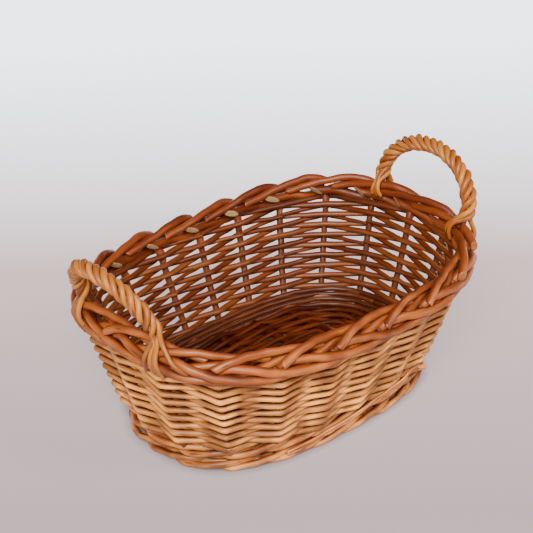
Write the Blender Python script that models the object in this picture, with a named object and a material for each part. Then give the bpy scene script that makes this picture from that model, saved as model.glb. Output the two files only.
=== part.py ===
"""Oval willow fruit basket with two roped end handles, built rod by rod.

Metres, +Z up. The long axis is X, the basket stands on z = 0, and its
bounding box is centred on the Z axis.
"""
import math

import bpy
from mathutils import Vector

# Driving dimensions: the stake line is the middle of the wall's thickness.
RIM_HALF_LENGTH = 0.1435
RIM_HALF_WIDTH = 0.1040
RIM_SQUARENESS = 2.89
FOOT_HALF_LENGTH = 0.1130
FOOT_HALF_WIDTH = 0.0695
FOOT_SQUARENESS = 2.73
FOOT_LINE_Z = 0.006
RIM_LINE_Z = 0.104
RIM_END_RISE = 0.0037
BELLY = 0.0012

UP = Vector((0.0, 0.0, 1.0))
ALONG_BASKET = Vector((1.0, 0.0, 0.0))
CLEARANCE = 0.0003
OVAL_SAMPLES = 4000

# Upright stakes, standing in the foot and ending inside the border. They are set by eye, so they
# drift from even spacing by a share of their pitch, furthest round the peak stake.
STAKE_COUNT = 20
STAKE_DRIFT = 0.22
STAKE_DRIFT_MEAN = -0.09
STAKE_DRIFT_PEAK = 17.3
STAKE_RADIUS_FOOT = 0.0024
STAKE_RADIUS_RIM = 0.0020
STAKE_BOTTOM_Z = 0.0025
STAKE_TOP_Z = 0.1085
STAKE_SIDES = 8
STAKE_SECTIONS = 5

# Siding: single rods woven in front of one stake and behind the next
COURSE_COUNT = 21
COURSE_ROD_RADIUS = 0.00175
COURSE_SIDES = 5
SIDING_BOTTOM_Z = 0.0197
SIDING_TOP_Z = 0.0969
WEAVE_SWING = STAKE_RADIUS_FOOT + COURSE_ROD_RADIUS + 2.0 * CLEARANCE

# Foot: the wale round the stakes. (distance out from the foot stake line, height)
FOOT_SECTION = (
    (-0.0042, 0.0035), (-0.0028, 0.0000), (0.0046, 0.0000), (0.0071, 0.0030),
    (0.0090, 0.0100), (0.0100, 0.0165), (0.0086, 0.0192), (0.0004, 0.0192), (-0.0030, 0.0110),
)
FOOT_STEPS = 40
STAKE_SOCKET_Z = 0.0018

# Base: woven oval with long sticks threaded through cross sticks, held up off the table by the foot
BASE_BOTTOM_Z = 0.0155
BASE_TOP_Z = 0.0247
BASE_EDGE_INSET = 0.0032
BASE_BEVEL = 0.0012
BASE_STEPS = 40
LONG_STICK_COUNT = 3
LONG_STICK_SPACING = 0.0200
LONG_STICK_RADIUS = 0.0014
CROSS_STICK_COUNT = 5
CROSS_STICK_SPACING = 0.0330
CROSS_STICK_RADIUS = 0.0031
STICK_SIDES = 8

# Border: (distance out from the stake line, height) of each ring of bent-down rods
BORDER_OUTER_SECTION = (
    (0.0034, 0.0974), (0.0072, 0.0974), (0.0074, 0.0916), (0.0086, 0.0916), (0.0094, 0.0940),
    (0.0090, 0.1040), (0.0072, 0.1088), (0.0046, 0.1102), (0.0034, 0.1090),
)
BORDER_INNER_SECTION = (
    (-0.0034, 0.1090), (-0.0046, 0.1102), (-0.0064, 0.1090), (-0.0074, 0.1050),
    (-0.0074, 0.1004), (-0.0064, 0.0984), (-0.0046, 0.0974), (-0.0034, 0.0984),
)
BORDER_TOP_SECTION = (
    (-0.0046, 0.1108), (0.0050, 0.1108), (0.0066, 0.1122), (0.0054, 0.1148),
    (0.0024, 0.1166), (-0.0024, 0.1166), (-0.0052, 0.1148), (-0.0060, 0.1122),
)
BORDER_STEPS = 64

# Handles: a bow with its legs set in the border, and the rope of rods wound on it.
# side, leg places across the basket, arch centre, half width, half height, drop below, lean
HANDLES = (
    {"name": "left", "side": -1, "legs": (-0.0395, 0.0400), "half_width": 0.0405,
     "rise": 0.0430, "drop": 0.0082, "lean": math.radians(27.0)},
    {"name": "right", "side": 1, "legs": (-0.0610, 0.0328), "half_width": 0.0505,
     "rise": 0.0375, "drop": 0.0060, "lean": math.radians(19.0)},
)
BOW_RADIUS = 0.0022
BOW_SIDES = 8
BOW_LEG_BOTTOM_Z = 0.0985
ROPE_RADIUS = 0.0062
ROPE_BORE_RADIUS = BOW_RADIUS + 0.0005
ROPE_SIDES = 8
ROPE_START_SHARE = 0.05
ARCH_STEPS = 20
LEG_HOLE_RADIUS = BOW_RADIUS + 0.0005
ARCH_BASE_Z = 0.1166

WILLOW_COLOURS = {
    "foot": (0.42, 0.19, 0.07), "base": (0.22, 0.075, 0.028), "stick": (0.24, 0.09, 0.035),
    "stake": (0.27, 0.11, 0.045), "course": (0.58, 0.31, 0.12), "border": (0.46, 0.17, 0.06),
    "bow": (0.40, 0.20, 0.08), "rope": (0.55, 0.30, 0.11),
}
WILLOW_ROUGHNESS = 0.5


def clear_scene():
    for old in list(bpy.data.objects):
        bpy.data.objects.remove(old, do_unlink=True)


def willow(name, tone):
    material = bpy.data.materials.new(name + "_willow")
    material.use_nodes = True
    shader = material.node_tree.nodes["Principled BSDF"]
    shader.inputs["Base Color"].default_value = (*WILLOW_COLOURS[tone], 1.0)
    shader.inputs["Roughness"].default_value = WILLOW_ROUGHNESS
    shader.inputs["Metallic"].default_value = 0.0
    return material


def signed_power(value, power):
    return math.copysign(abs(value) ** power, value)


def sampled_oval(half_length, half_width, squareness):
    """A superellipse and its running length, finely sampled from the +X end."""
    points = []
    lengths = [0.0]
    for step in range(OVAL_SAMPLES + 1):
        angle = 2.0 * math.pi * step / OVAL_SAMPLES
        points.append((half_length * signed_power(math.cos(angle), 2.0 / squareness),
                       half_width * signed_power(math.sin(angle), 2.0 / squareness)))
        if step:
            lengths.append(lengths[-1] + math.dist(points[-1], points[-2]))
    return points, lengths


def point_along(oval, turn):
    """The point a fraction of a turn round the oval, measured by length."""
    points, lengths = oval
    target = (turn % 1.0) * lengths[-1]
    low, high = 0, len(lengths) - 1
    while high - low > 1:
        middle = (low + high) // 2
        if lengths[middle] <= target:
            low = middle
        else:
            high = middle
    share = (target - lengths[low]) / (lengths[high] - lengths[low])
    return tuple(a + (b - a) * share for a, b in zip(points[low], points[high]))


RIM_OVAL = sampled_oval(RIM_HALF_LENGTH, RIM_HALF_WIDTH, RIM_SQUARENESS)
FOOT_OVAL = sampled_oval(FOOT_HALF_LENGTH, FOOT_HALF_WIDTH, FOOT_SQUARENESS)


def rim_rise(turn):
    """The rim stands higher at the two ends than along the sides."""
    x, y = point_along(RIM_OVAL, turn)
    angle = math.atan2(y / RIM_HALF_WIDTH, x / RIM_HALF_LENGTH)
    return RIM_END_RISE * math.cos(2.0 * angle)


def outward(turn):
    """Level unit vector pointing out of the wall."""
    before = point_along(RIM_OVAL, turn - 0.001)
    after = point_along(RIM_OVAL, turn + 0.001)
    return Vector((after[1] - before[1], before[0] - after[0], 0.0)).normalized()


def wall_point(turn, height, out=0.0):
    """A point on the wall at a nominal height, before the ends rise. It flares up to the rim line."""
    share = min((height - FOOT_LINE_Z) / (RIM_LINE_Z - FOOT_LINE_Z), 1.0)
    foot = point_along(FOOT_OVAL, turn)
    rim = point_along(RIM_OVAL, turn)
    swell = BELLY * math.sin(math.pi * max(share, 0.0))
    place = Vector((foot[0] + (rim[0] - foot[0]) * share, foot[1] + (rim[1] - foot[1]) * share, 0.0))
    place += outward(turn) * (out + swell)
    place.z = height + rim_rise(turn) * max(share, 0.0)
    return place


def add_object(name, mesh, tone, parent):
    node = bpy.data.objects.new(name, mesh)
    node.data.materials.append(willow(name, tone))
    node.parent = parent
    bpy.context.collection.objects.link(node)
    return node


def loft(name, loops, closed):
    """A mesh through equal loops of points; the ends are capped unless it closes on itself."""
    sides = len(loops[0])
    count = len(loops)
    vertices = [tuple(point) for loop in loops for point in loop]
    faces = []
    for index in range(count if closed else count - 1):
        start = index * sides
        end = ((index + 1) % count) * sides
        for side in range(sides):
            following = (side + 1) % sides
            faces.append((start + side, start + following, end + following, end + side))
    if not closed:
        faces.append(tuple(reversed(range(sides))))
        faces.append(tuple((count - 1) * sides + side for side in range(sides)))
    mesh = bpy.data.meshes.new(name)
    mesh.from_pydata(vertices, [], faces)
    mesh.update()
    return mesh


def tube_loops(path, radii, sides, closed=False, reference=UP):
    """Polygon sections square to a path, all turned the same way against a reference direction."""
    loops = []
    count = len(path)
    for index, centre in enumerate(path):
        before = path[index - 1] if closed or index else path[0]
        after = path[(index + 1) % count] if closed or index < count - 1 else path[-1]
        along = (after - before).normalized()
        across = reference.cross(along).normalized()
        upright = along.cross(across)
        loops.append([centre + (across * math.cos(angle) + upright * math.sin(angle)) * radii[index]
                      for angle in (2.0 * math.pi * side / sides for side in range(sides))])
    return loops


def rod(name, path, radii, sides, tone, parent, closed=False, reference=UP):
    mesh = loft(name, tube_loops(path, radii, sides, closed, reference), closed)
    mesh.shade_smooth()
    mesh.set_sharp_from_angle(angle=math.radians(50.0))
    return add_object(name, mesh, tone, parent)


def ring_from_section(name, section, steps, tone, parent):
    """A ring whose section is given by distance out from the stake line and height."""
    loops = [[wall_point(step / steps, height, out) for out, height in reversed(section)]
             for step in range(steps)]
    return add_object(name, loft(name, loops, True), tone, parent)


def foot_ring(parent):
    """The foot's section is measured from the foot line itself, so it doesn't lean twice."""
    loops = []
    for step in range(FOOT_STEPS):
        turn = step / FOOT_STEPS
        line = Vector((*point_along(FOOT_OVAL, turn), 0.0))
        loops.append([line + outward(turn) * out + Vector((0.0, 0.0, height))
                      for out, height in reversed(FOOT_SECTION)])
    return add_object("foot_wale", loft("foot_wale", loops, True), "foot", parent)


def stake_turn(index):
    """How far round the oval a stake stands."""
    swing = STAKE_DRIFT * math.cos(2.0 * math.pi * (index - STAKE_DRIFT_PEAK) / STAKE_COUNT)
    return (index + STAKE_DRIFT_MEAN + swing) / STAKE_COUNT


def stake_path(turn):
    """Up the leaning wall to the rim line, then straight up to the stake's top."""
    leaning = [STAKE_BOTTOM_Z + (RIM_LINE_Z - STAKE_BOTTOM_Z) * step / (STAKE_SECTIONS - 2)
               for step in range(STAKE_SECTIONS - 1)]
    return [wall_point(turn, height) for height in leaning + [STAKE_TOP_Z]]


def add_stakes(parent):
    span = STAKE_RADIUS_RIM - STAKE_RADIUS_FOOT
    radii = [STAKE_RADIUS_FOOT + span * step / (STAKE_SECTIONS - 1) for step in range(STAKE_SECTIONS)]
    for index in range(STAKE_COUNT):
        turn = stake_turn(index)
        rod(f"stake_{index + 1:02d}", stake_path(turn), radii, STAKE_SIDES, "stake", parent,
            reference=outward(turn))


def add_courses(parent):
    """Each course passes outside the stakes that the next one passes inside."""
    pitch = (SIDING_TOP_Z - SIDING_BOTTOM_Z) / COURSE_COUNT
    points = 2 * STAKE_COUNT
    for course in range(COURSE_COUNT):
        height = SIDING_BOTTOM_Z + pitch * (course + 0.5)
        path = []
        for index in range(points):
            swing = 0.0 if index % 2 else WEAVE_SWING * (-1) ** (index // 2 + course)
            path.append(wall_point(stake_turn(index / 2.0), height, swing))
        radii = [COURSE_ROD_RADIUS] * points
        rod(f"siding_course_{course + 1:02d}", path, radii, COURSE_SIDES, "course", parent, closed=True)


def add_cutter(name, mesh, parent):
    cutter = bpy.data.objects.new(name, mesh)
    cutter.parent = parent
    cutter.hide_render = True
    cutter.display_type = "WIRE"
    bpy.context.collection.objects.link(cutter)
    return cutter


def cut(target, cutter):
    modifier = target.modifiers.new(cutter.name, "BOOLEAN")
    modifier.operation = "DIFFERENCE"
    modifier.solver = "EXACT"
    modifier.object = cutter


def rod_cutter(name, path, radius, sides, parent, reference=UP):
    loops = tube_loops(path, [radius] * len(path), sides, reference=reference)
    return add_cutter(name, loft(name, loops, False), parent)


def cut_stake_sockets(foot, parent):
    """Blind sockets in the foot, one round the lower end of each stake."""
    radius = STAKE_RADIUS_FOOT + CLEARANCE
    for index in range(STAKE_COUNT):
        turn = stake_turn(index)
        path = [wall_point(turn, STAKE_SOCKET_Z), wall_point(turn, SIDING_BOTTOM_Z + 0.001)]
        cut(foot, rod_cutter(f"socket_cutter_{index + 1:02d}", path, radius, STAKE_SIDES, parent,
                             reference=outward(turn)))


def oval_half_width(x):
    """Half width of the base plate's outline at a distance along the basket."""
    share = abs(x) / (FOOT_HALF_LENGTH - BASE_EDGE_INSET)
    return (FOOT_HALF_WIDTH - BASE_EDGE_INSET) * (1.0 - share ** FOOT_SQUARENESS) ** (1.0 / FOOT_SQUARENESS)


def oval_half_length(y):
    share = abs(y) / (FOOT_HALF_WIDTH - BASE_EDGE_INSET)
    return (FOOT_HALF_LENGTH - BASE_EDGE_INSET) * (1.0 - share ** FOOT_SQUARENESS) ** (1.0 / FOOT_SQUARENESS)


def base_plate(parent):
    """The woven oval of the base, a closed plate with eased edges."""
    outline = sampled_oval(FOOT_HALF_LENGTH - BASE_EDGE_INSET, FOOT_HALF_WIDTH - BASE_EDGE_INSET,
                           FOOT_SQUARENESS)
    section = ((BASE_BEVEL, BASE_BOTTOM_Z), (0.0, BASE_BOTTOM_Z + BASE_BEVEL),
               (0.0, BASE_TOP_Z - BASE_BEVEL), (BASE_BEVEL, BASE_TOP_Z))
    loops = []
    for inset, height in section:
        loop = []
        for step in range(BASE_STEPS):
            x, y = point_along(outline, step / BASE_STEPS)
            edge = outward(step / BASE_STEPS) * inset
            loop.append(Vector((x - edge.x, y - edge.y, height)))
        loops.append(loop)
    return add_object("base_weave", loft("base_weave", loops, False), "base", parent)


def spread(count, spacing):
    return [(index - (count - 1) / 2.0) * spacing for index in range(count)]


def add_base(parent):
    """Long sticks run through the split cross sticks, and both through the woven plate."""
    plate = base_plate(parent)
    middle = (BASE_BOTTOM_Z + BASE_TOP_Z) / 2.0
    past_edge = 0.004
    crosses = []
    for index, x in enumerate(spread(CROSS_STICK_COUNT, CROSS_STICK_SPACING)):
        reach = oval_half_width(x) - CLEARANCE
        ends = [Vector((x, -reach, middle)), Vector((x, reach, middle))]
        crosses.append(rod(f"base_cross_stick_{index + 1}", ends, [CROSS_STICK_RADIUS] * 2, STICK_SIDES,
                           "stick", parent))
        channel = [Vector((x, -reach - past_edge, middle)), Vector((x, reach + past_edge, middle))]
        cut(plate, rod_cutter(f"cross_channel_{index + 1}", channel, CROSS_STICK_RADIUS + CLEARANCE,
                              STICK_SIDES, parent))
    for index, y in enumerate(spread(LONG_STICK_COUNT, LONG_STICK_SPACING)):
        reach = oval_half_length(y) - CLEARANCE
        ends = [Vector((-reach, y, middle)), Vector((reach, y, middle))]
        rod(f"base_long_stick_{index + 1}", ends, [LONG_STICK_RADIUS] * 2, STICK_SIDES, "stick", parent)
        channel = [Vector((-reach - past_edge, y, middle)), Vector((reach + past_edge, y, middle))]
        channel_cutter = rod_cutter(f"long_channel_{index + 1}", channel,
                                    LONG_STICK_RADIUS + CLEARANCE, STICK_SIDES, parent)
        for pierced in [plate] + crosses:
            cut(pierced, channel_cutter)


def turn_at_end(side, y):
    """The turn at which the rim crosses y at one end of the basket."""
    low, high = (-0.25, 0.25) if side > 0 else (0.75, 0.25)
    for _ in range(50):
        middle = (low + high) / 2.0
        if point_along(RIM_OVAL, middle)[1] < y:
            low = middle
        else:
            high = middle
    return (low + high) / 2.0


def arch_path(handle, steps=ARCH_STEPS, start=0.0):
    """Centreline of the handle over the arch; start leaves out that share at each end."""
    near = wall_point(turn_at_end(handle["side"], handle["legs"][0]), ARCH_BASE_Z)
    far = wall_point(turn_at_end(handle["side"], handle["legs"][1]), ARCH_BASE_Z)
    dip = math.asin(handle["drop"] / handle["rise"])
    lean_out = math.sin(handle["lean"]) * handle["side"]
    lean_up = math.cos(handle["lean"])
    foot_half = handle["half_width"] * math.cos(dip)
    path = []
    for step in range(steps + 1):
        share = start + (1.0 - 2.0 * start) * step / steps
        angle = -dip + (math.pi + 2.0 * dip) * share
        height = handle["drop"] + handle["rise"] * math.sin(angle)
        bulge = -handle["half_width"] * math.cos(angle) + foot_half * (1.0 - 2.0 * share)
        level = near.lerp(far, share)
        path.append(level + Vector((height * lean_out, bulge, height * lean_up)))
    return path


def bow_path(handle):
    """The arch with its two legs, which follow the wall down through the border."""
    legs = []
    for y in handle["legs"]:
        turn = turn_at_end(handle["side"], y)
        middle_z = (BOW_LEG_BOTTOM_Z + ARCH_BASE_Z) / 2.0
        legs.append([wall_point(turn, BOW_LEG_BOTTOM_Z), wall_point(turn, middle_z)])
    return legs[0] + arch_path(handle) + legs[1][::-1]


def rope_sleeve(handle, parent):
    """The wound rods as one sleeve round the bow, open at both ends."""
    path = arch_path(handle, start=ROPE_START_SHARE)
    outer = tube_loops(path, [ROPE_RADIUS] * len(path), ROPE_SIDES, reference=ALONG_BASKET)
    inner = tube_loops(path, [ROPE_BORE_RADIUS] * len(path), ROPE_SIDES, reference=ALONG_BASKET)
    mesh = loft(f"handle_{handle['name']}_rope", outer + inner[::-1], True)
    mesh.shade_smooth()
    mesh.set_sharp_from_angle(angle=math.radians(50.0))
    return add_object(f"handle_{handle['name']}_rope", mesh, "rope", parent)


def add_handles(border_top, parent):
    for handle in HANDLES:
        path = bow_path(handle)
        rod(f"handle_{handle['name']}_bow", path, [BOW_RADIUS] * len(path), BOW_SIDES, "bow", parent,
            reference=ALONG_BASKET)
        rope_sleeve(handle, parent)
        for end, part in (("near", path[:5]), ("far", path[-5:])):
            cutter = rod_cutter(f"leg_cutter_{handle['name']}_{end}", part, LEG_HOLE_RADIUS, BOW_SIDES,
                                parent, reference=ALONG_BASKET)
            cut(border_top, cutter)


def centre_on_origin(parent):
    """Slides the whole basket so that its bounding box is centred on the Z axis."""
    bpy.context.view_layer.update()
    corners = [node.matrix_world @ Vector(corner) for node in bpy.data.objects
               if node.type == "MESH" and not node.hide_render for corner in node.bound_box]
    for axis in (0, 1):
        values = [corner[axis] for corner in corners]
        parent.location[axis] = -(min(values) + max(values)) / 2.0


def main():
    clear_scene()
    basket = bpy.data.objects.new("basket", None)
    bpy.context.collection.objects.link(basket)
    foot = foot_ring(basket)
    cut_stake_sockets(foot, basket)
    add_base(basket)
    add_stakes(basket)
    add_courses(basket)
    ring_from_section("border_outer_rods", BORDER_OUTER_SECTION, BORDER_STEPS, "border", basket)
    ring_from_section("border_inner_rods", BORDER_INNER_SECTION, BORDER_STEPS, "border", basket)
    border_top = ring_from_section("border_top_rods", BORDER_TOP_SECTION, BORDER_STEPS, "border", basket)
    add_handles(border_top, basket)
    centre_on_origin(basket)


main()
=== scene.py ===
"""Looks of an oval willow basket: every rod of its base, foot, siding, border and roped handles.

Metres, +Z up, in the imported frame. A place on the wall is given by its turn (a share of the way
round, from the +X end, seen from above against the clock), its height, and its distance out from
the line that the stakes stand on.
"""
import math

import bpy
import numpy as np
from mathutils import Matrix, Vector


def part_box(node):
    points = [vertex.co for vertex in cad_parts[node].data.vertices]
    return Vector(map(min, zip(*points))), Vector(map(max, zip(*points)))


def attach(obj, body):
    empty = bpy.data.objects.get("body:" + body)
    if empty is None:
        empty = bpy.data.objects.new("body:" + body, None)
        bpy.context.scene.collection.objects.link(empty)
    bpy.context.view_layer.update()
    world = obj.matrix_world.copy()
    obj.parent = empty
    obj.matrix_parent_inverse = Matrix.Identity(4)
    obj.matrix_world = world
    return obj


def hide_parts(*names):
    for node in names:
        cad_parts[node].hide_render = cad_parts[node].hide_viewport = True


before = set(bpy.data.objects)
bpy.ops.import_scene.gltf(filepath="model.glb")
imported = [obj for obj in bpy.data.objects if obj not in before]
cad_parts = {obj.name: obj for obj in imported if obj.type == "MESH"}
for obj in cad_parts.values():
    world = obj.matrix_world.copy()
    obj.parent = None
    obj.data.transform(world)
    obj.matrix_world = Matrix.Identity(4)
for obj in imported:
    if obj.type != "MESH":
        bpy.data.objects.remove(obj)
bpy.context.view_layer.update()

TAU = 2.0 * math.pi

# The design's own measures, as part.py has them.
RIM_SQUARENESS = 2.89
FOOT_SQUARENESS = 2.73
FOOT_LINE_Z = 0.006
RIM_LINE_Z = 0.104
RIM_END_RISE = 0.0037
BELLY = 0.0012
BORDER_REACH = 0.0090
FOOT_REACH = 0.0100
STAKE_COUNT = 20
STAKE_DRIFT = 0.22
STAKE_DRIFT_MEAN = -0.09
STAKE_DRIFT_PEAK = 17.3
STAKE_RADIUS_FOOT = 0.0027
STAKE_RADIUS_RIM = 0.0026
COURSE_COUNT = 21
LONG_STICK_COUNT = 3
CROSS_STICK_COUNT = 5
BASE_EDGE_INSET = 0.0032

# The handles. legs are where they stand in Y. The arch is part of an ellipse, half_width wide and
# rise high, with its middle drop above the border's top, and leans out by lean. start is the share
# of the arch left free of winding at each end. feet says where the wound strands end at each leg:
# which way each one passes the border (1 outside, -1 inside), how far round the rim from the leg its
# end lies, and its end's depth under the border's top. Those outside the border come first, and each
# group is ordered round the rim. extra_feet are thin strand ends beside them.
HANDLES = (
    {"name": "left", "side": -1, "legs": (-0.0395, 0.0400), "half_width": 0.0405,
     "rise": 0.0430, "drop": 0.0082, "lean": math.radians(27.0), "start": 0.075,
     "feet": (((1, -0.012, 0.025), (1, -0.005, 0.024), (1, 0.002, 0.026), (1, 0.021, 0.017)),
              ((1, -0.017, 0.024), (1, -0.012, 0.026), (1, -0.007, 0.027), (1, 0.000, 0.020))),
     "extra_feet": (((1, -0.0015, 0.0245),), ())},
    {"name": "right", "side": 1, "legs": (-0.0610, 0.0328), "half_width": 0.0505,
     "rise": 0.0375, "drop": 0.0060, "lean": math.radians(19.0), "start": 0.050,
     "feet": (((1, 0.004, 0.019), (-1, 0.004, 0.0125), (-1, 0.010, 0.0115), (-1, 0.015, 0.0110)),
              ((1, -0.004, 0.020), (-1, -0.004, 0.010), (-1, 0.000, 0.011), (-1, 0.004, 0.010))),
     "extra_feet": (((1, 0.0, 0.018), (-1, 0.007, 0.0120), (-1, 0.0125, 0.0115)),
                    ((1, 0.003, 0.021),))},
)
# Places up a strand's foot from its end: distance out, and share of its depth
OUTSIDE_FOOT = ((0.0070, 1.0), (0.0094, 0.75), (0.0100, 0.45), (0.0084, 0.15), (0.0058, -0.15))
INSIDE_FOOT = ((0.0080, 1.0), (0.0098, 0.7), (0.0098, 0.35), (0.0080, 0.0), (0.0060, -0.2))

# Rods: the step along their paths; the random wander of their radius, as a share, and of their line,
# both by wave lengths; the length over which the line's wander dies away at an end; and the shape of
# the section and of the cut ends, as shares of the radius.
PATH_STEP = 0.0018
OVAL_SAMPLES = 4000
RADIUS_WANDER = 0.045
RADIUS_WAVES = (0.05, 0.021)
BEND_WAVES = ((0.031, 0.017), (0.037, 0.019))
BEND_FADE = 0.01
WOBBLE = 0.0003
OUT_OF_ROUND = 0.05
CUT_ROUNDING = 0.16
CUT_RINGS = (0.55, 0.86)
SLANT_REACH = 2.5

# The first seed of each group of pieces
SEEDS = {"base_cross_stick": 100, "base_long_stick": 120, "base_weave": 140, "foot": 160,
         "stakes": 200, "siding": 300, "border": 400, "bows": 500, "ropes": 520}

# Base. Sticks: name, count, axis they run along, sides, taper and wobble.
BASE_STICKS = (("cross_stick", CROSS_STICK_COUNT, 1, 12, 0.92, 0.0004),
               ("long_stick", LONG_STICK_COUNT, 0, 10, 0.90, WOBBLE))
STICK_SOFTNESS = 0.004
BASE_RADIUS = 0.0020
BASE_MIDDLE = 0.0025
BASE_PITCH = 0.0046
BASE_EDGE = 0.0022
BASE_SOFTNESS = 0.0028

# Foot. At each step of the wale's pattern: distance out, and height in layers.
WALE_RADIUS = 0.0025
WALE_WOBBLE = 0.0004
WALE_SOFTNESS = 0.004
WALE_STEPS = ((-0.0040, 1.0), (0.0052, 0.5), (0.0058, 1.5))
WALE_BETWEEN_OUT = 0.0062
WALE_ROUND_SHIFT = 7
# Plain rings behind the wale, in the darkest tone as painted shade in its gaps: distance out, and
# heights as shares of the foot's
FILLER_OUT = -0.0016
FILLER_LEVELS = (0.24, 0.50, 0.76)
# Loose thin rods low on the near right side: the lift and radius of each, and the places that they
# pass, by stakes round the wall and height. Beside them the end of one rod stands out, by stakes
# round the wall and distance out.
LOOSE_RODS = ((0.0, 0.0010), (0.0030, 0.0009))
LOOSE_PLACES = ((13.2, 0.006), (14.0, 0.011), (15.0, 0.017), (16.0, 0.026), (16.7, 0.033))
LOOSE_OUT = 0.0078
LOOSE_WOBBLE = 0.0006
STUB_PLACES = ((16.7, 0.000), (16.95, 0.005), (17.1, 0.0085))
STUB_HEIGHT = 0.026
STUB_SOFTNESS = 0.002

# Stakes and siding. The lowest and highest courses are a little thicker than the rest.
STAKE_TOP_DEPTH = 0.0140
STAKE_BOTTOM_GAP = 0.0006
STAKE_SOFTNESS = 0.003
COURSE_RADIUS = 0.00210
COURSE_SWING = 0.0048
COURSE_SIDES = 10
COURSE_LAP = 0.0008
COURSE_JITTER = 0.00022
COURSE_TIP = 0.6
COURSE_WOBBLE = 0.00018
COURSE_SOFTNESS = 0.0011
COURSE_STEP = 0.0014
LOW_COURSES = 7
LOW_THICKENING = 0.18
HIGH_COURSES = 5
HIGH_THICKENING = 0.10
SIDING_DIP = 0.0005
SIDING_LIFT = 0.0022
# Plain rings inside the lowest courses, where the siding starts, in the darkest tone as painted
# shade in the gaps there
UPSETT_COURSES = 4
UPSETT_LIFT = -0.0020
UPSETT_OUT = -0.0050
UPSETT_START = 3.4

# Border. Places along a rod: stakes passed since its start, distance out (mm), and depth below the
# border's top (m).
BORDER_RADIUS = 0.0032
BORDER_TIP_RADIUS = 0.0026
BORDER_SIDES = 12
BORDER_SAMPLES = 90
BORDER_SOFTNESS = 0.0030
OUTER_ROD = ((-0.02, -0.6, 0.0260), (0.00, -0.3, 0.0180), (0.06, 0.8, 0.0125), (0.22, 2.2, 0.0108),
             (0.45, 4.4, 0.0106), (0.70, 5.8, 0.0132), (1.00, 6.4, 0.0172), (1.30, 6.6, 0.0197),
             (1.70, 6.4, 0.0208), (2.05, 5.2, 0.0204), (2.30, 3.4, 0.0194), (2.48, 1.0, 0.0175),
             (2.65, -1.0, 0.0150), (2.90, -4.0, 0.0130), (3.25, -7.0, 0.0112))
TOP_ROD = ((0.00, -4.5, 0.0095), (0.40, -5.0, 0.0070), (0.80, -4.2, 0.0046), (1.10, -2.4, 0.0033),
           (1.40, 0.6, 0.0032), (1.65, 4.0, 0.0052), (1.85, 6.2, 0.0098))

# Handles' rods
BOW_RADII = (0.0022, 0.0021)
BOW_SOFTNESS = 0.003
BOW_BOTTOM_GAP = 0.001
STRAND_COUNT = 4
STRAND_RADIUS = 0.00232
STRAND_ORBIT = 0.0042
STRAND_ORBIT_RIPPLE = (0.10, 0.43)
STRAND_PITCH = 0.029
STRAND_SIDES = 10
STRAND_SOFTNESS = 0.0024
STRAND_SLANT = 0.9
THIN_STRAND = 0.0016
EXTRA_STRAND_OUT = 0.0030

# Camera, round a point near the middle of the basket
CAMERA_TARGET = Vector((0.0221, 0.0294, 0.0908))
CAMERA_AZIMUTH = math.radians(-41.495)
CAMERA_ELEVATION = math.radians(28.488)
CAMERA_ROLL = math.radians(-1.168)
CAMERA_DISTANCE = 1.5192
CAMERA_LENS = 137.05
CAMERA_SENSOR = 36.0

# Light: azimuth, elevation, distance, size, power and colour of each soft box
KEY_LIGHT = (-49.0, 39.0, 2.2, 0.9, 123.0, (1.0, 0.93, 0.82))
FILL_LIGHT = (20.0, 42.0, 2.4, 0.8, 40.0, (1.0, 0.94, 0.85))
WORLD_COLOUR = (1.0, 0.98, 0.95, 1.0)
WORLD_STRENGTH = 0.13

# Floor. Its glow is painted light, going from dark in front to pale behind. The shade is a painted
# shadow under the basket that covers two ovals like the foot's: for each, its shift in Y, and its
# length as a share of the foot's.
FLOOR_SIZE = 14.0
FLOOR_COLOUR = (0.16, 0.135, 0.15, 1.0)
FLOOR_GLOW = ((0.0, (0.126, 0.098, 0.110)), (0.42, (0.27, 0.205, 0.205)), (1.0, (0.93, 1.0, 1.10)))
FLOOR_GLOW_SPAN = (-0.15, 0.70)
FLOOR_GLOW_STRENGTH = 3.4
FLOOR_SHADE = (0.004, 0.002, 0.001)
FLOOR_SHADES = ((0.0, 1.0), (0.018, 0.90))
FLOOR_SHADE_SPAN = (0.7, 1.05)

# Willow. Scales are cycles per metre along and across a rod, and those of the pale columns, partly
# weathering and partly painted highlights, by x, y and z.
STREAK_SCALE = (38.0, 1500.0)
BLOTCH_SCALE = (22.0, 170.0)
SCAR_SCALE = (85.0, 520.0)
PORE_SCALE = (1400.0, 1400.0)
COLUMN_SCALE = (48.0, 48.0, 4.0)
CUT_COLOUR = (0.46, 0.31, 0.17)
SCAR_COLOUR = (0.045, 0.018, 0.008)
STREAK_COLOUR = (0.42, 0.36, 0.32)


# ---------------------------------------------------------------- the wall's geometry

def box_centre_and_half(node):
    low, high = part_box(node)
    return (low + high) / 2.0, (high - low) / 2.0


BORDER_CENTRE, BORDER_HALF = box_centre_and_half("border_outer_rods")
FOOT_HALF = box_centre_and_half("foot_wale")[1]
CENTRE_X = BORDER_CENTRE.x
BORDER_TOP_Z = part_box("border_top_rods")[1].z - RIM_END_RISE


def sampled_oval(half_length, half_width, squareness):
    """A superellipse from the +X end: share of its length, x and y."""
    angle = np.linspace(0.0, TAU, OVAL_SAMPLES + 1)
    x = half_length * np.sign(np.cos(angle)) * np.abs(np.cos(angle)) ** (2.0 / squareness)
    y = half_width * np.sign(np.sin(angle)) * np.abs(np.sin(angle)) ** (2.0 / squareness)
    length = np.concatenate(([0.0], np.cumsum(np.hypot(np.diff(x), np.diff(y)))))
    return length / length[-1], x, y


def along_oval(oval, turn):
    share, x, y = oval
    place = np.mod(turn, 1.0)
    return np.interp(place, share, x), np.interp(place, share, y)


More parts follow.
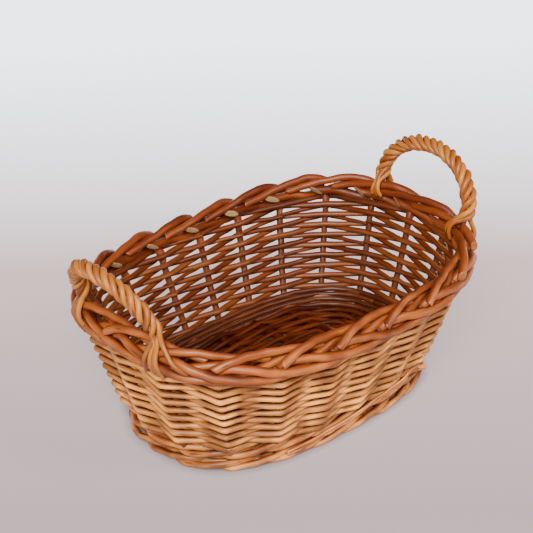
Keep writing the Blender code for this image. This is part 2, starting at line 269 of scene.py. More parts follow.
RIM_SIZE = (BORDER_HALF.x - BORDER_REACH, BORDER_HALF.y - BORDER_REACH)
FOOT_SIZE = (FOOT_HALF.x - FOOT_REACH, FOOT_HALF.y - FOOT_REACH)
RIM_OVAL = sampled_oval(*RIM_SIZE, RIM_SQUARENESS)
FOOT_OVAL = sampled_oval(*FOOT_SIZE, FOOT_SQUARENESS)
RIM_GIRTH = float(np.sum(np.hypot(np.diff(RIM_OVAL[1]), np.diff(RIM_OVAL[2]))))


def outward(turn):
    """Level unit vectors pointing out of the wall, as x and y."""
    before = along_oval(RIM_OVAL, np.asarray(turn) - 0.001)
    after = along_oval(RIM_OVAL, np.asarray(turn) + 0.001)
    x, y = after[1] - before[1], before[0] - after[0]
    size = np.hypot(x, y)
    return x / size, y / size


def rim_rise(turn):
    x, y = along_oval(RIM_OVAL, turn)
    return RIM_END_RISE * np.cos(2.0 * np.arctan2(y / RIM_SIZE[1], x / RIM_SIZE[0]))


def wall(turn, height, out):
    """Points on the wall; it flares up to the rim line and stands straight above it."""
    turn, height, out = np.broadcast_arrays(*(np.asarray(v, float) for v in (turn, height, out)))
    share = np.clip((height - FOOT_LINE_Z) / (RIM_LINE_Z - FOOT_LINE_Z), None, 1.0)
    above_foot = np.maximum(share, 0.0)
    foot = along_oval(FOOT_OVAL, turn)
    rim = along_oval(RIM_OVAL, turn)
    away = outward(turn)
    reach = out + BELLY * np.sin(math.pi * above_foot)
    x = foot[0] + (rim[0] - foot[0]) * share + away[0] * reach + CENTRE_X
    y = foot[1] + (rim[1] - foot[1]) * share + away[1] * reach
    return np.stack((x, y, height + rim_rise(turn) * above_foot), axis=-1)


def stake_turn(index):
    swing = STAKE_DRIFT * np.cos(TAU * (np.asarray(index) - STAKE_DRIFT_PEAK) / STAKE_COUNT)
    return (index + STAKE_DRIFT_MEAN + swing) / STAKE_COUNT


def on_foot(turn, height, out):
    """Points on the foot, which stands straight on the foot line's oval."""
    x, y = along_oval(FOOT_OVAL, turn)
    away = outward(turn)
    x, y = x + CENTRE_X + away[0] * out, y + away[1] * out
    return np.stack(np.broadcast_arrays(x, y, height), axis=-1)


def running_length(path):
    """How far along the path each of its points lies."""
    steps = np.linalg.norm(np.diff(path, axis=0), axis=1)
    return np.concatenate(([0.0], np.cumsum(steps)))


def smooth_path(points, softness, spacing=PATH_STEP):
    """Even points along straight runs between the given ones, with the corners rounded."""
    points = np.asarray(points, float)
    length = running_length(points)
    count = max(int(length[-1] / spacing), 6)
    place = np.linspace(0.0, length[-1], count + 1)
    dense = np.stack([np.interp(place, length, points[:, axis]) for axis in range(3)], axis=1)
    reach = min(int(math.ceil(3.0 * softness / spacing)), count)
    kernel = np.exp(-0.5 * (np.arange(-reach, reach + 1) * spacing / softness) ** 2)
    kernel /= kernel.sum()
    padded = np.vstack((2.0 * dense[0] - dense[reach:0:-1], dense,
                        2.0 * dense[-1] - dense[-2:-reach - 2:-1]))
    return np.stack([np.convolve(padded[:, axis], kernel, "valid") for axis in range(3)], axis=1)


# ---------------------------------------------------------------- rods

def transported(path):
    """Tangents, and two directions across them that don't twist along the rod."""
    tangents = np.gradient(path, axis=0)
    tangents /= np.linalg.norm(tangents, axis=1)[:, None]
    start = np.cross(tangents[0], (0.0, 0.0, 1.0))
    if np.linalg.norm(start) < 0.1:
        start = np.cross(tangents[0], (1.0, 0.0, 0.0))
    across = Vector(start)
    normals = []
    for tangent in tangents:
        direction = Vector(tangent)
        across = (across - direction * across.dot(direction)).normalized()
        normals.append(across[:])
    normals = np.array(normals)
    return tangents, normals, np.cross(tangents, normals)


def facing_out(mesh, points):
    """How far each point of the surface faces out of the basket, from 0, inward, to 1."""
    normals = np.zeros(len(points) * 3, np.float32)
    mesh.vertices.foreach_get("normal", normals)
    normals = normals.reshape(-1, 3)
    away = np.stack(((points[:, 0] - CENTRE_X) / RIM_SIZE[0] ** 2,
                     points[:, 1] / RIM_SIZE[1] ** 2), axis=1)
    away /= np.maximum(np.linalg.norm(away, axis=1), 1e-6)[:, None]
    return 0.5 + 0.5 * (normals[:, 0] * away[:, 0] + normals[:, 1] * away[:, 1])


def set_attribute(mesh, key, values):
    """Stores one number, or one vector, for each point of the mesh."""
    kind, field = ("FLOAT_VECTOR", "vector") if values.ndim == 2 else ("FLOAT", "value")
    attribute = mesh.attributes.new(key, kind, "POINT")
    attribute.data.foreach_set(field, values.astype(np.float32).ravel())


class Rods:
    """Collects the rods of one piece, with what the willow material reads from their surface."""

    def __init__(self, seed):
        self.random = np.random.default_rng(seed)
        self.points = []
        self.faces = []
        self.rest = []
        self.tone = []
        self.cut = []
        self.count = 0

    def wander(self, length, size, waves):
        """A slow random ripple along a rod."""
        ripple = np.zeros_like(length)
        for wave in waves:
            wave_length = wave * self.random.uniform(0.8, 1.25)
            ripple += np.sin(TAU * (length / wave_length + self.random.random()))
        return size * ripple / len(waves)

    def add(self, path, radii, sides=8, tone=None, slant=0.0, wobble=0.0, facing=None,
            fresh=(1.0, 1.0)):
        """One rod with rounded cut ends.

        radii are spread evenly along it. slant is how obliquely it is cut, facing which way round
        the rod the longer side lies, and fresh how pale the cuts at its start and its end are.
        """
        length = running_length(path)
        tangents, normals, binormals = transported(path)
        if wobble:
            fade = np.minimum(1.0, np.minimum(length, length[-1] - length) / BEND_FADE)
            for across, waves in zip((normals, binormals), BEND_WAVES):
                path = path + across * (self.wander(length, wobble, waves) * fade)[:, None]
        share = length / length[-1]
        radius = np.interp(share, np.linspace(0.0, 1.0, len(radii)), radii)
        radius = radius * (1.0 + self.wander(length, RADIUS_WANDER, RADIUS_WAVES))
        angles = TAU * np.arange(sides) / sides
        out_of_round = 1.0 + OUT_OF_ROUND * np.cos(2.0 * angles + TAU * self.random.random())
        turn_of_cut = TAU * self.random.random() if facing is None else facing
        offset = self.random.uniform(0.0, 5.0, 3)
        tone = self.random.uniform(0.25, 0.75) if tone is None else tone
        cosines, sines = np.cos(angles), np.sin(angles)

        def ring(index, share, push, cut):
            size = radius[index] * share * out_of_round
            along_normal, along_binormal = size * cosines, size * sines
            to_end = min(length[index], length[-1] - length[index])
            near_end = max(0.0, 1.0 - to_end / (SLANT_REACH * radius[index]))
            lean = slant * near_end * size * np.cos(angles - turn_of_cut) + push
            local = (normals[index] * along_normal[:, None]
                     + binormals[index] * along_binormal[:, None])
            self.points.append(path[index] + local + tangents[index] * lean[:, None])
            self.rest.append(np.stack((length[index] + offset[0] + lean, offset[1] + along_normal,
                                       offset[2] + along_binormal), axis=1))
            self.cut.append(np.full(sides, cut))

        last = len(path) - 1
        push = (-CUT_ROUNDING * radius[0], CUT_ROUNDING * radius[last])
        for size in CUT_RINGS:
            ring(0, size, push[0], fresh[0])
        for index in range(len(path)):
            ring(index, 1.0, 0.0, 0.0)
        for size in reversed(CUT_RINGS):
            ring(last, size, push[1], fresh[1])
        for index, out, cut in ((0, push[0], fresh[0]), (last, push[1], fresh[1])):
            self.points.append((path[index] + tangents[index] * out)[None, :])
            self.rest.append(np.array([[length[index] + offset[0] + out, offset[1], offset[2]]]))
            self.cut.append(np.array([cut]))
        self.skin(len(path) + 2 * len(CUT_RINGS), sides, tone)

    def skin(self, rings, sides, tone):
        """The faces of the rod whose rings, and then the middles of its two cuts, come next."""
        first = self.count
        side = np.arange(sides)
        row = first + np.arange(rings - 1)[:, None] * sides
        here, after = row + side, row + (side + 1) % sides
        quads = np.stack((here, after, after + sides, here + sides), axis=-1).reshape(-1, 4)
        self.faces.extend(quads.tolist())
        top = first + (rings - 1) * sides
        middle = first + rings * sides
        for here in range(sides):
            after = (here + 1) % sides
            self.faces.append([middle, first + after, first + here])
            self.faces.append([middle + 1, top + here, top + after])
        added = rings * sides + 2
        self.tone.append(np.full(added, tone))
        self.count += added

    def piece(self, name, material, slot, *nodes):
        """The finished piece, which rides on the basket and stands for its CAD nodes."""
        mesh = bpy.data.meshes.new(name)
        points = np.vstack(self.points)
        mesh.from_pydata(points.tolist(), [], self.faces)
        mesh.shade_smooth()
        set_attribute(mesh, "rest", np.vstack(self.rest))
        set_attribute(mesh, "tone", np.concatenate(self.tone))
        set_attribute(mesh, "cut", np.concatenate(self.cut))
        set_attribute(mesh, "outer", facing_out(mesh, points))
        mesh.materials.append(material)
        piece = bpy.data.objects.new(name, mesh)
        bpy.context.scene.collection.objects.link(piece)
        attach(piece, "root")
        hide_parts(*nodes)


# ---------------------------------------------------------------- willow

class Nodes:
    """Short names for building a material's node tree."""

    def __init__(self, name):
        self.material = bpy.data.materials.new(name)
        self.material.use_nodes = True
        self.tree = self.material.node_tree
        self.shader = self.tree.nodes["Principled BSDF"]

    def link(self, source, target):
        self.tree.links.new(source, target)

    def set(self, target, value):
        if isinstance(value, bpy.types.NodeSocket):
            self.link(value, target)
        else:
            target.default_value = value

    def attribute(self, name, output):
        node = self.tree.nodes.new("ShaderNodeAttribute")
        node.attribute_name = name
        return node.outputs[output]

    def noise(self, vector, scale, detail=2.0, rough=0.5):
        """Noise on a stretched vector; the last of scale's numbers also serves for a third axis."""
        stretch = self.tree.nodes.new("ShaderNodeMapping")
        self.link(vector, stretch.inputs["Vector"])
        stretch.inputs["Scale"].default_value = (scale[0], scale[1], scale[-1])
        node = self.tree.nodes.new("ShaderNodeTexNoise")
        self.link(stretch.outputs["Vector"], node.inputs["Vector"])
        node.inputs["Scale"].default_value = 1.0
        node.inputs["Detail"].default_value = detail
        node.inputs["Roughness"].default_value = rough
        return node.outputs["Fac"]

    def math(self, operation, first, second=0.0, clamp=False):
        node = self.tree.nodes.new("ShaderNodeMath")
        node.operation = operation
        node.use_clamp = clamp
        self.set(node.inputs[0], first)
        self.set(node.inputs[1], second)
        return node.outputs[0]

    def spread(self, value, low, high, to_low=0.0, to_high=1.0):
        node = self.tree.nodes.new("ShaderNodeMapRange")
        self.set(node.inputs["Value"], value)
        limits = {"From Min": low, "From Max": high, "To Min": to_low, "To Max": to_high}
        for key, limit in limits.items():
            node.inputs[key].default_value = limit
        return node.outputs[0]

    def ramp(self, value, stops):
        node = self.tree.nodes.new("ShaderNodeValToRGB")
        self.set(node.inputs["Fac"], value)
        elements = node.color_ramp.elements
        while len(elements) < len(stops):
            elements.new(0.5)
        for element, (place, colour) in zip(elements, stops):
            element.position = place
            element.color = (*colour, 1.0)
        return node.outputs["Color"]

    def mix(self, share, first, second, blend="MIX"):
        node = self.tree.nodes.new("ShaderNodeMix")
        node.data_type = "RGBA"
        node.blend_type = blend
        self.set(node.inputs[0], share)
        for socket, value in ((node.inputs[6], first), (node.inputs[7], second)):
            self.set(socket, value if isinstance(value, bpy.types.NodeSocket) else (*value, 1.0))
        return node.outputs[2]


def willow(name, dark, middle, pale, bleach_and_painted_light, bleach_and_painted_light_share, gloss=1.0):
    """Buff willow: each rod has its own tone, long streaks, blotches and small dark leaf scars.

    dark, middle and pale are the colours of a rod's tones, which the faces turned into the basket
    keep. The next colour is mixed over the faces turned out of it, in upright columns, up to the
    next
    share: partly the pale of weathered willow, partly painted light on the lit outside, with painted
    highlights in the columns.
    """
    nodes = Nodes(name)
    rest = nodes.attribute("rest", "Vector")
    tone = nodes.attribute("tone", "Fac")
    cut = nodes.attribute("cut", "Fac")
    outer = nodes.attribute("outer", "Fac")
    place = nodes.tree.nodes.new("ShaderNodeNewGeometry").outputs["Position"]
    streaks = nodes.noise(rest, STREAK_SCALE, 3.0, 0.6)
    blotches = nodes.noise(rest, BLOTCH_SCALE, 2.0, 0.5)

    blotched = nodes.spread(blotches, 0.3, 0.7, -0.28, 0.28)
    shade = nodes.math("ADD", tone, blotched, clamp=True)
    colour = nodes.ramp(shade, ((0.0, dark), (0.45, middle), (1.0, pale)))

    # Faces turned out of the basket go paler in upright columns: partly weathering, partly painted
    # light on the lit outside, with painted highlights in the columns.
    columns = nodes.spread(nodes.noise(place, COLUMN_SCALE, 1.0), 0.38, 0.60, 0.34, 1.2)
    bleach_and_painted_light_mask = nodes.math("MULTIPLY", nodes.spread(outer, 0.45, 1.0, 0.0, bleach_and_painted_light_share), columns)
    bleach_and_painted_light_mask = nodes.math("MULTIPLY", bleach_and_painted_light_mask, nodes.spread(blotches, 0.34, 0.58, 0.35, 1.0))
    colour = nodes.mix(bleach_and_painted_light_mask, colour, bleach_and_painted_light)

    grain = nodes.ramp(streaks, ((0.30, STREAK_COLOUR), (0.62, (1.0, 1.0, 1.0))))
    colour = nodes.mix(0.55, colour, grain, "MULTIPLY")
    scars = nodes.spread(nodes.noise(rest, SCAR_SCALE, 0.0), 0.74, 0.80)
    colour = nodes.mix(nodes.math("MULTIPLY", scars, 0.75), colour, SCAR_COLOUR)
    pores = nodes.noise(rest, PORE_SCALE, 2.0, 0.7)
    dark_pores = tuple(0.45 * channel for channel in CUT_COLOUR)
    colour = nodes.mix(cut, colour, nodes.ramp(pores, ((0.35, dark_pores), (0.6, CUT_COLOUR))))

    inputs = nodes.shader.inputs
    nodes.link(colour, inputs["Base Color"])
    nodes.link(nodes.spread(streaks, 0.25, 0.75, 0.56, 0.36), inputs["Roughness"])
    inputs["Specular IOR Level"].default_value = 0.35 * gloss
    inputs["Coat Weight"].default_value = 0.08 * gloss
    inputs["Coat Roughness"].default_value = 0.28
    bump = nodes.tree.nodes.new("ShaderNodeBump")
    bump.inputs["Strength"].default_value = 0.35
    bump.inputs["Distance"].default_value = 0.0004
    relief = nodes.math("ADD", streaks, nodes.math("MULTIPLY", blotches, 0.5))
    nodes.link(relief, bump.inputs["Height"])
    nodes.link(bump.outputs["Normal"], inputs["Normal"])
    return nodes.material


# Siding: its tones, kept by faces turned into the basket, are dark partly as painted shade inside
# it; its pale colour for the faces turned out is partly painted light.
SIDING = willow("siding_rods", (0.048, 0.008, 0.0016), (0.112, 0.0225, 0.0040),
                (0.20, 0.055, 0.012), (0.98, 0.42, 0.100), 1.0, gloss=0.8)
STAKES = willow("stake_rods", (0.045, 0.008, 0.0016), (0.09, 0.018, 0.0035), (0.14, 0.032, 0.007),
                (0.30, 0.09, 0.02), 0.4)
BORDER = willow("border_rods", (0.062, 0.0080, 0.0009), (0.142, 0.0235, 0.0026),
                (0.245, 0.052, 0.0070), (0.52, 0.155, 0.027), 0.6)
FOOT = willow("foot_rods", (0.050, 0.008, 0.0014), (0.118, 0.022, 0.0037), (0.21, 0.054, 0.0105),
              (0.90, 0.35, 0.085), 0.8)
# Base: much darker than the other rods, partly as painted shade down inside the basket.
BASE = willow("base_rods", (0.010, 0.0012, 0.0002), (0.050, 0.0072, 0.0008), (0.11, 0.020, 0.0024),
              (0.18, 0.04, 0.005), 0.1, gloss=0.2)
ROPE = willow("rope_rods", (0.14, 0.027, 0.0028), (0.30, 0.084, 0.0090), (0.46, 0.170, 0.024),
              (0.62, 0.26, 0.048), 0.35)


# ---------------------------------------------------------------- base and foot

def base_level():
    """The height of the base's middle, and half its thickness."""
    low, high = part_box("base_weave")
    return (low.z + high.z) / 2.0, (high.z - low.z) / 2.0


def stick_places(name, count, axis):
    return [box_centre_and_half(f"base_{name}_{index + 1}")[0][axis] for index in range(count)]


def nearest_share(oval, x, y):
    share, xs, ys = oval
    return share[int(np.argmin(np.hypot(xs - x, ys - y)))]


def make_base_sticks():
    level = base_level()[0]
    for kind, count, axis, sides, taper, wobble in BASE_STICKS:
        for index in range(count):
            node = f"base_{kind}_{index + 1}"
            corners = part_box(node)
            radius = (corners[1].z - corners[0].z) / 2.0
            ends = []
            for corner in corners:
                end = [(low + high) / 2.0 for low, high in zip(*corners)]
                end[axis] = corner[axis]
                end[2] = level
                ends.append(end)
            rods = Rods(SEEDS[f"base_{kind}"] + index)
            rods.add(smooth_path(ends, STICK_SOFTNESS), (radius, radius * taper), sides,
                     wobble=wobble)
            rods.piece(f"{kind}_{index + 1}", BASE, "base_stick_willow", node)


def base_ring_path(half_length, half_width, sign):
    """One woven round of the base, over one stick and under the next."""
    middle, half_height = base_level()
    swing = half_height - BASE_RADIUS
    oval = sampled_oval(half_length, half_width, FOOT_SQUARENESS)
    crossings = []
    for x in stick_places("cross_stick", CROSS_STICK_COUNT, 0):
        share = abs(x - CENTRE_X) / half_length
        if share < 1.0:
            y = half_width * (1.0 - share ** FOOT_SQUARENESS) ** (1.0 / FOOT_SQUARENESS)
            crossings += [(x - CENTRE_X, y), (x - CENTRE_X, -y)]
    for y in stick_places("long_stick", LONG_STICK_COUNT, 1):
        share = abs(y) / half_width
        if share < 1.0:
            x = half_length * (1.0 - share ** FOOT_SQUARENESS) ** (1.0 / FOOT_SQUARENESS)
            crossings += [(x, y), (-x, y)]
    shares = np.sort([nearest_share(oval, x, y) for x, y in crossings])
    path = []
    for index, share in enumerate(shares):
        following = shares[index + 1] if index + 1 < len(shares) else shares[0] + 1.0
        level = middle + swing * sign * (-1) ** index
        for part in (0.0, 0.35, 0.65):
            x, y = along_oval(oval, share + (following - share) * part)
            path.append((x + CENTRE_X, y, level + (middle - level) * min(1.0, part * 1.6)))
    return path


def make_base_weave():
    rods = Rods(SEEDS["base_weave"])
    half_length = FOOT_SIZE[0] - BASE_EDGE_INSET
    half_width = FOOT_SIZE[1] - BASE_EDGE_INSET
    rounds = int((half_width - BASE_MIDDLE - BASE_EDGE) / BASE_PITCH) + 1
    for index in range(rounds):
        inset = BASE_EDGE + BASE_PITCH * index
        path = base_ring_path(half_length - inset, half_width - inset, (-1) ** index)
        start = int(rods.random.integers(len(path)))
        path = smooth_path(path[start:] + path[:start + 4], BASE_SOFTNESS)
        rods.add(path, (BASE_RADIUS * 1.05, BASE_RADIUS * 0.9), 8, slant=0.8, wobble=WOBBLE)
    rods.piece("base_rods", BASE, "base_willow", "base_weave")


def wale_path(first, bottom, layer):
    """One rod of a round of three-rod wale, from its first stake round to its own start."""
    path = []
    for step in range(STAKE_COUNT + 2):
        out, layers = WALE_STEPS[step % 3]
        height = bottom + layers * layer
        path.append(on_foot(stake_turn(first + step), height, out))
        if step % 3 == 1:
            between = stake_turn(first + step + 0.5)
            path.append(on_foot(between, height + layer * 0.5, WALE_BETWEEN_OUT))
    return path


def make_foot():
    """Two rounds of three-rod wale: each rod passes outside two stakes and inside the third."""
    rods = Rods(SEEDS["foot"])
    low, high = (corner.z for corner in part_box("foot_wale"))
    round_height = (high - low) / 2.0
    for round_index in range(2):
        bottom = low + round_index * round_height
        for rod in range(3):
            path = wale_path(rod + round_index * WALE_ROUND_SHIFT, bottom, round_height / 2.0)
            rods.add(smooth_path(path, WALE_SOFTNESS), (WALE_RADIUS, WALE_RADIUS * 0.94), 10,
                     slant=0.7, wobble=WALE_WOBBLE)
    for lift, thick in LOOSE_RODS:
        path = [wall(stake_turn(stake), height + lift, LOOSE_OUT) for stake, height in LOOSE_PLACES]
        rods.add(smooth_path(path, WALE_SOFTNESS), (thick * 1.3, thick), 8, tone=1.0, slant=1.0,
                 wobble=LOOSE_WOBBLE)
    path = [wall(stake_turn(stake), STUB_HEIGHT, out) for stake, out in STUB_PLACES]
    rods.add(smooth_path(path, STUB_SOFTNESS), (WALE_RADIUS,) * 2, 10, fresh=(0.0, 0.2))
    turns = np.linspace(0.0, 1.0, 121)
    # The darkest tone makes these rings painted shade behind the wale.
    for share in FILLER_LEVELS:
        path = on_foot(turns, low + (high - low) * share, FILLER_OUT)
        rods.add(path, (WALE_RADIUS,) * 2, 8, tone=0.0)
    rods.piece("foot_rods", FOOT, "foot_willow", "foot_wale")


# ---------------------------------------------------------------- stakes and siding

def make_stakes():
    for index in range(STAKE_COUNT):
        name = f"stake_{index + 1:02d}"
        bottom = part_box(name)[0].z + STAKE_BOTTOM_GAP
        heights = np.linspace(bottom, BORDER_TOP_Z - STAKE_TOP_DEPTH, 8)
        path = smooth_path(wall(stake_turn(index), heights, 0.0), STAKE_SOFTNESS)
        rods = Rods(SEEDS["stakes"] + index)
        rods.add(path, (STAKE_RADIUS_FOOT, STAKE_RADIUS_RIM), 10, wobble=WOBBLE, fresh=(0.0, 0.0))
        rods.piece(f"stake_rod_{index + 1:02d}", STAKES, "stake_willow", name)


def course_thickening(course):
    low = max(0.0, 1.0 - course / LOW_COURSES)
    high = max(0.0, (course + 1 + HIGH_COURSES - COURSE_COUNT) / HIGH_COURSES)
    return 1.0 + LOW_THICKENING * low + HIGH_THICKENING * high


def make_siding():
    """Single rods, in front of one stake and behind the next; each laps past its own start."""
    for course in range(COURSE_COUNT):
        node = f"siding_course_{course + 1:02d}"
        level = box_centre_and_half(node)[0].z
        rods = Rods(SEEDS["siding"] + course)
        start = int(rods.random.integers(STAKE_COUNT))
        if (start + course) % 2 == 0:
            start += 1
        path = []
        for step in range(STAKE_COUNT + 1):
            index = start + step
            sign = (-1) ** (index + course)
            lap = {0: -COURSE_LAP, STAKE_COUNT: COURSE_LAP}.get(step, 0.0)
            jitter = rods.random.uniform(-COURSE_JITTER, COURSE_JITTER)
            lift = SIDING_LIFT * course / COURSE_COUNT
            height = level + jitter + lap + lift - SIDING_DIP * sign
            path.append(wall(stake_turn(index), height, COURSE_SWING * sign))
        thick = COURSE_RADIUS * rods.random.uniform(0.97, 1.05) * course_thickening(course)
        radii = (thick * COURSE_TIP,) + (thick,) * 20 + (thick * COURSE_TIP,)
        rods.add(smooth_path(path, COURSE_SOFTNESS, COURSE_STEP), radii, COURSE_SIDES,
                 wobble=COURSE_WOBBLE, fresh=(0.0, 0.0))
        # These rings take the darkest tone, as painted shade in the gaps low in the wall.
        if course < UPSETT_COURSES:
            turns = stake_turn(start + UPSETT_START) + np.linspace(0.0, 1.0, 161)
            rods.add(wall(turns, level + UPSETT_LIFT, UPSETT_OUT), (COURSE_RADIUS,) * 2,
                     COURSE_SIDES, tone=0.0, wobble=WOBBLE, fresh=(0.0, 0.0))
        rods.piece(f"siding_rod_{course + 1:02d}", SIDING, "siding_willow", node)


# ---------------------------------------------------------------- border

def border_path(first, direction, places):
    stations = np.array(places)
    phase = np.linspace(stations[0, 0], stations[-1, 0], BORDER_SAMPLES)
    out = np.interp(phase, stations[:, 0], stations[:, 1]) / 1000.0
    depth = np.interp(phase, stations[:, 0], stations[:, 2])
    path = wall(stake_turn(first + direction * phase), BORDER_TOP_Z - depth, out)
    return smooth_path(path, BORDER_SOFTNESS)


def make_border():
    """At each stake, a rod that passes outside and ends inside, and one that crosses back on top."""
    outer, inner, top = (Rods(SEEDS["border"] + index) for index in range(3))
    for index in range(STAKE_COUNT):
        group = outer if index % 2 else inner
        size = BORDER_RADIUS * group.random.uniform(0.95, 1.05)
        group.add(border_path(index, 1, OUTER_ROD), (size, size, size * 1.06), BORDER_SIDES,
                  slant=1.6, wobble=WOBBLE, facing=0.0, fresh=(0.0, 1.0))
        size = BORDER_RADIUS * top.random.uniform(0.95, 1.04)
        top.add(border_path(index + TOP_ROD[-1][0], -1, TOP_ROD), (BORDER_TIP_RADIUS, size),
                BORDER_SIDES, slant=0.6, wobble=WOBBLE, fresh=(0.0, 0.1))
    outer.piece("border_rods_outer", BORDER, "border_willow", "border_outer_rods")
    inner.piece("border_rods_inner", BORDER, "border_willow", "border_inner_rods")
    top.piece("border_rods_top", BORDER, "border_willow", "border_top_rods")


# ---------------------------------------------------------------- handles

def turn_at_end(side, y):
    """The turn at which the rim crosses y at one end of the basket."""
    low, high = (-0.25, 0.25) if side > 0 else (0.75, 0.25)
    for _ in range(50):
        middle = (low + high) / 2.0
        if along_oval(RIM_OVAL, middle)[1] < y:
            low = middle
        else:
            high = middle
    return (low + high) / 2.0


def arch_path(handle, steps, start=0.0):
    """Centreline of the handle's arch; start leaves out that share at each end."""
    near, far = (wall(turn_at_end(handle["side"], y), BORDER_TOP_Z, 0.0)
                 for y in handle["legs"])
    dip = math.asin(handle["drop"] / handle["rise"])
    foot_half = handle["half_width"] * math.cos(dip)
    share = np.linspace(start, 1.0 - start, steps + 1)
    angle = -dip + (math.pi + 2.0 * dip) * share
    height = handle["drop"] + handle["rise"] * np.sin(angle)
    bulge = -handle["half_width"] * np.cos(angle) + foot_half * (1.0 - 2.0 * share)
    level = near[None, :] + (far - near)[None, :] * share[:, None]
    lean = handle["lean"]
    return level + np.stack((height * math.sin(lean) * handle["side"], bulge,
                             height * math.cos(lean)), axis=1)


def make_bow(handle):
    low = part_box(f"handle_{handle['name']}_bow")[0].z
    legs = []
    for y in handle["legs"]:
        turn = turn_at_end(handle["side"], y)
        bottom = low - rim_rise(turn) + BOW_BOTTOM_GAP
        legs.append(wall(turn, np.array((bottom, (bottom + BORDER_TOP_Z) / 2.0)), 0.0))
    path = smooth_path(np.vstack((legs[0], arch_path(handle, 40), legs[1][::-1])), BOW_SOFTNESS)
    rods = Rods(SEEDS["bows"] + handle["side"])
    rods.add(path, BOW_RADII, STRAND_SIDES, slant=1.0)
    rods.piece(f"{handle['name']}_bow_rod", STAKES, "bow_willow", f"handle_{handle['name']}_bow")


def strand_foot(turn, way, sideways, depth):
    """A strand's end, from where it is tucked into the border to just under the winding.

    way is 1 to pass down outside the border and -1 inside it; sideways is measured round the rim.
    """
    stations = OUTSIDE_FOOT if way > 0 else INSIDE_FOOT
    path = []
    for step, (out, share) in enumerate(stations):
        widen = 1.0 - step / len(stations)
        place = turn + sideways * widen / RIM_GIRTH
        path.append(wall(place, BORDER_TOP_Z - depth * share, way * out))
    return path


def strand_ends(handle, end, strands, centre):
    """Each strand's foot at one leg, shared out by where the strands leave the winding."""
    turn = turn_at_end(handle["side"], handle["legs"][end])
    away = np.array(outward(turn))
    across = np.array((-away[1], away[0]))
    point = (0, -1)[end]
    relative = [(path[point] - centre[point])[:2] for path in strands]
    order = sorted(range(STRAND_COUNT), key=lambda strand: -float(np.dot(relative[strand], away)))
    places = handle["feet"][end]
    outside = sum(1 for way, _, _ in places if way > 0)
    ends = {}
    for group, spots in ((order[:outside], places[:outside]), (order[outside:], places[outside:])):
        ranked = sorted(group, key=lambda strand: float(np.dot(relative[strand], across)))
        for strand, (way, sideways, depth) in zip(ranked, spots):
            ends[strand] = strand_foot(turn, way, sideways, depth)
    return ends


def make_rope(handle):
    """Strands wound right-handed round the bow, their ends fanned over the border."""
    rods = Rods(SEEDS["ropes"] + handle["side"])
    centre = arch_path(handle, 150, handle["start"])
    _, normals, binormals = transported(centre)
    length = running_length(centre)
    ripple, ripple_pitch = STRAND_ORBIT_RIPPLE
    strands = []
    for strand in range(STRAND_COUNT):
        angle = TAU * (length / STRAND_PITCH + strand / STRAND_COUNT)
        orbit = STRAND_ORBIT * (1.0 + ripple * np.sin(angle * ripple_pitch + 2.0 * strand))
        strands.append(centre + normals * (orbit * np.cos(angle))[:, None]
                       + binormals * (orbit * np.sin(angle))[:, None])
    feet = [strand_ends(handle, end, strands, centre) for end in range(2)]
    for end, inside_rope in enumerate((centre[4:14], centre[-5:-15:-1])):
        turn = turn_at_end(handle["side"], handle["legs"][end])
        away = np.array((*outward(turn), 0.0))
        for way, sideways, depth in handle["extra_feet"][end]:
            top = inside_rope + away * way * EXTRA_STRAND_OUT
            path = np.vstack((strand_foot(turn, way, sideways, depth), top))
            rods.add(smooth_path(path, STRAND_SOFTNESS), (THIN_STRAND,) * 2, STRAND_SIDES,
                     slant=STRAND_SLANT)
    for strand, wound in enumerate(strands):
        path = np.vstack((feet[0][strand], wound, feet[1][strand][::-1]))
        thick = STRAND_RADIUS * rods.random.uniform(0.88, 1.08)
        radii = (THIN_STRAND,) + (thick,) * 4 + (THIN_STRAND,)
        rods.add(smooth_path(path, STRAND_SOFTNESS), radii, STRAND_SIDES,
                 tone=rods.random.uniform(0.1, 0.9), slant=STRAND_SLANT, wobble=WOBBLE)
    rods.piece(f"{handle['name']}_rope_rods", ROPE, "rope_willow", f"handle_{handle['name']}_rope")


# ---------------------------------------------------------------- stage, light and camera

def floor_shade(nodes, x, y, shift, length):
    """Painted shadow: 0 under the basket's foot, 1 beside it; shift, length as in FLOOR_SHADES."""
    along = nodes.math("DIVIDE", nodes.math("SUBTRACT", x, CENTRE_X), FOOT_HALF.x * length)
    across = nodes.math("DIVIDE", nodes.math("SUBTRACT", y, shift), FOOT_HALF.y)
    powers = [nodes.math("POWER", nodes.math("ABSOLUTE", part), FOOT_SQUARENESS)
              for part in (along, across)]
    return nodes.spread(nodes.math("ADD", *powers), *FLOOR_SHADE_SPAN)


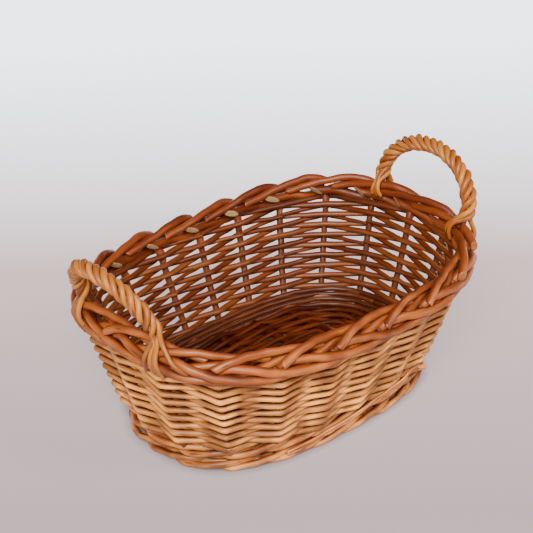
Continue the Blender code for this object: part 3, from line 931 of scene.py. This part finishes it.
def make_floor():
    bpy.ops.mesh.primitive_plane_add(size=FLOOR_SIZE)
    floor = bpy.context.object
    floor.name = "floor"
    nodes = Nodes("floor")
    place = nodes.tree.nodes.new("ShaderNodeNewGeometry").outputs["Position"]
    split = nodes.tree.nodes.new("ShaderNodeSeparateXYZ")
    nodes.link(place, split.inputs["Vector"])
    x, y = split.outputs["X"], split.outputs["Y"]
    # The floor glows, though it is no lamp: painted light, dark in front and pale behind, darkened
    # to a painted shadow under the basket.
    behind = nodes.math("ADD", nodes.math("MULTIPLY", x, math.sin(-CAMERA_AZIMUTH)),
                        nodes.math("MULTIPLY", y, math.cos(CAMERA_AZIMUTH)))
    glow = nodes.ramp(nodes.spread(behind, *FLOOR_GLOW_SPAN), FLOOR_GLOW)
    shades = [floor_shade(nodes, x, y, *shade) for shade in FLOOR_SHADES]
    glow = nodes.mix(nodes.math("MINIMUM", *shades), FLOOR_SHADE, glow)
    nodes.link(glow, nodes.shader.inputs["Emission Color"])
    nodes.shader.inputs["Base Color"].default_value = FLOOR_COLOUR
    nodes.shader.inputs["Emission Strength"].default_value = FLOOR_GLOW_STRENGTH
    nodes.shader.inputs["Roughness"].default_value = 0.9
    floor.data.materials.append(nodes.material)


def towards(azimuth, elevation):
    """The unit vector towards a place seen from the basket; azimuth 0 is towards -Y."""
    level = math.cos(elevation)
    return Vector((math.sin(azimuth) * level, -math.cos(azimuth) * level, math.sin(elevation)))


def make_softbox(name, azimuth, elevation, distance, size, power, colour):
    light = bpy.data.lights.new(name, "AREA")
    light.shape = "SQUARE"
    light.size = size
    light.energy = power
    light.color = colour
    lamp = bpy.data.objects.new(name, light)
    bpy.context.scene.collection.objects.link(lamp)
    back = towards(math.radians(azimuth), math.radians(elevation))
    lamp.location = back * distance
    lamp.rotation_mode = "QUATERNION"
    lamp.rotation_quaternion = (-back).to_track_quat("-Z", "Y")


def make_light():
    world = bpy.data.worlds.new("studio")
    bpy.context.scene.world = world
    world.use_nodes = True
    background = world.node_tree.nodes["Background"]
    background.inputs["Color"].default_value = WORLD_COLOUR
    background.inputs["Strength"].default_value = WORLD_STRENGTH
    make_softbox("key_light", *KEY_LIGHT)
    make_softbox("fill_light", *FILL_LIGHT)


def make_camera():
    data = bpy.data.cameras.new("camera")
    data.lens = CAMERA_LENS
    data.sensor_width = CAMERA_SENSOR
    data.clip_start = 0.05
    data.clip_end = 50.0
    camera = bpy.data.objects.new("camera", data)
    bpy.context.scene.collection.objects.link(camera)
    back = towards(CAMERA_AZIMUTH, CAMERA_ELEVATION)
    level = Vector((math.cos(CAMERA_AZIMUTH), math.sin(CAMERA_AZIMUTH), 0.0))
    upright = back.cross(level)
    cosine, sine = math.cos(CAMERA_ROLL), math.sin(CAMERA_ROLL)
    right = level * cosine + upright * sine
    up = upright * cosine - level * sine
    turned = Matrix((right, up, back)).transposed().to_4x4()
    camera.matrix_world = Matrix.Translation(CAMERA_TARGET + back * CAMERA_DISTANCE) @ turned
    bpy.context.scene.camera = camera


make_base_sticks()
make_base_weave()
make_foot()
make_stakes()
make_siding()
make_border()
for basket_handle in HANDLES:
    make_bow(basket_handle)
    make_rope(basket_handle)
make_floor()
make_light()
make_camera()
